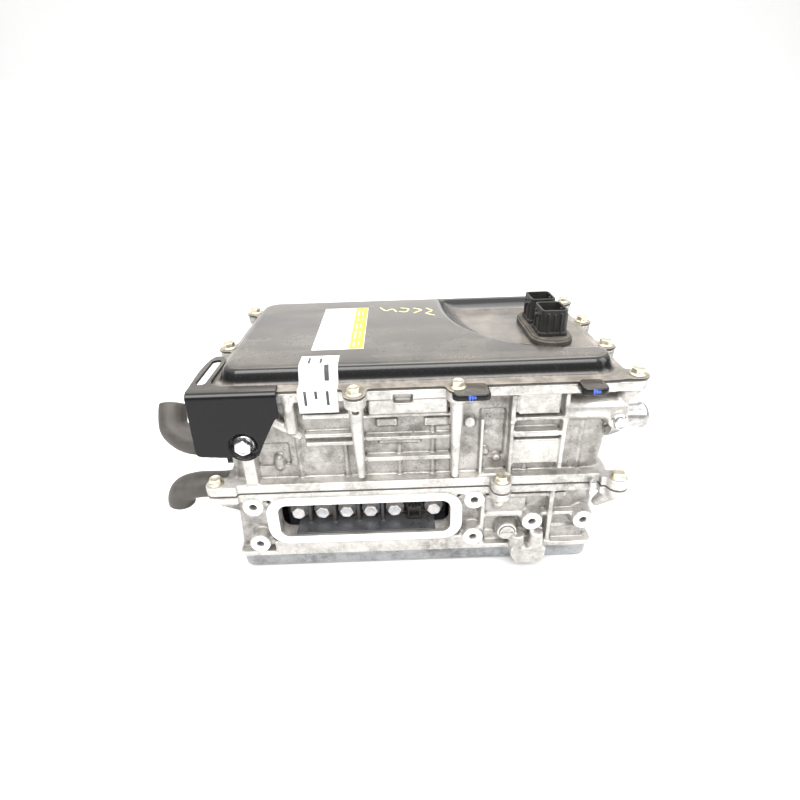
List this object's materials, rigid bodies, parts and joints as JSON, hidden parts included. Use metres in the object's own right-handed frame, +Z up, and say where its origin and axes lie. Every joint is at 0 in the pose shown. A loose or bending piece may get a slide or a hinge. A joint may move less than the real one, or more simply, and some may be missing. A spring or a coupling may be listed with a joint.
{
  "type": "vehicle power inverter unit",
  "caption": "Boxy water-cooled power inverter for an electric drive: two ribbed cast housings, black domed cover, front terminal window, top headers, side hose elbows.",
  "frame": {"origin": "middle of the flat underside of the bottom cover", "axes": "+Z up through the cover, -Y out of the terminal window, +X to the side spigot"},
  "size_m": [0.4687, 0.2515, 0.2363],
  "materials": {
    "cast_aluminium": "as-cast, sand texture, dusty, machined faces brighter",
    "black_paint": "semi-gloss black paint with tan dust",
    "black_steel": "blackened spring steel",
    "zinc_steel": "yellowish zinc plating",
    "silver_steel": "bright plating",
    "copper_bar": "bare rolled copper",
    "hose_rubber": "matt aged rubber",
    "seal": "matt",
    "black_plastic": "satin moulded",
    "resin": "potted resin",
    "circuit_board": "solder resist",
    "core_iron": "ferrite"
  },
  "bodies": {
    "root": {"bottom_cover": "cast_aluminium", "bottom_cover_gasket": "seal", "lower_casting": "cast_aluminium", "parting_gasket": "seal", "upper_casting": "cast_aluminium", "top_cover_gasket": "seal", "top_cover": "black_paint", "cover_bolt_1": "zinc_steel", "cover_bolt_2": "zinc_steel", "cover_bolt_3": "zinc_steel", "cover_bolt_4": "zinc_steel", "cover_bolt_5": "zinc_steel", "cover_bolt_6": "zinc_steel", "cover_bolt_7": "zinc_steel", "cover_bolt_8": "zinc_steel", "cover_bolt_9": "zinc_steel", "cover_bolt_10": "zinc_steel", "parting_bolt_1": "zinc_steel", "parting_bolt_2": "zinc_steel", "parting_bolt_3": "zinc_steel", "parting_bolt_4": "zinc_steel", "side_bracket": "black_paint", "bracket_bolt": "silver_steel", "coolant_spigot_upper": "cast_aluminium", "coolant_spigot_lower": "cast_aluminium", "coolant_hose_upper": "hose_rubber", "coolant_hose_lower": "hose_rubber", "hose_clamp_upper": "black_steel", "hose_clamp_lower": "black_steel", "side_spigot": "cast_aluminium", "spigot_bolt": "silver_steel", "terminal_block": "black_plastic", "terminal_busbar_1": "copper_bar", "terminal_bolt_1": "silver_steel", "terminal_busbar_2": "copper_bar", "terminal_bolt_2": "silver_steel", "terminal_busbar_3": "copper_bar", "terminal_bolt_3": "silver_steel", "terminal_busbar_4": "copper_bar", "terminal_bolt_4": "silver_steel", "terminal_busbar_5": "copper_bar", "terminal_bolt_5": "silver_steel", "terminal_busbar_6": "copper_bar", "terminal_bolt_6": "silver_steel", "interlock_connector": "black_plastic", "slotted_plug": "cast_aluminium", "locating_pin": "silver_steel", "connector_base": "black_plastic", "signal_connector_front": "black_plastic", "signal_connector_rear": "black_plastic", "cold_plate": "cast_aluminium", "power_module": "resin", "smoothing_capacitor": "resin", "dc_busbar": "copper_bar", "current_sensor": "resin", "control_board": "circuit_board", "reactor": "core_iron", "transformer": "core_iron", "converter_board": "circuit_board"}
  },
  "joints": []
}
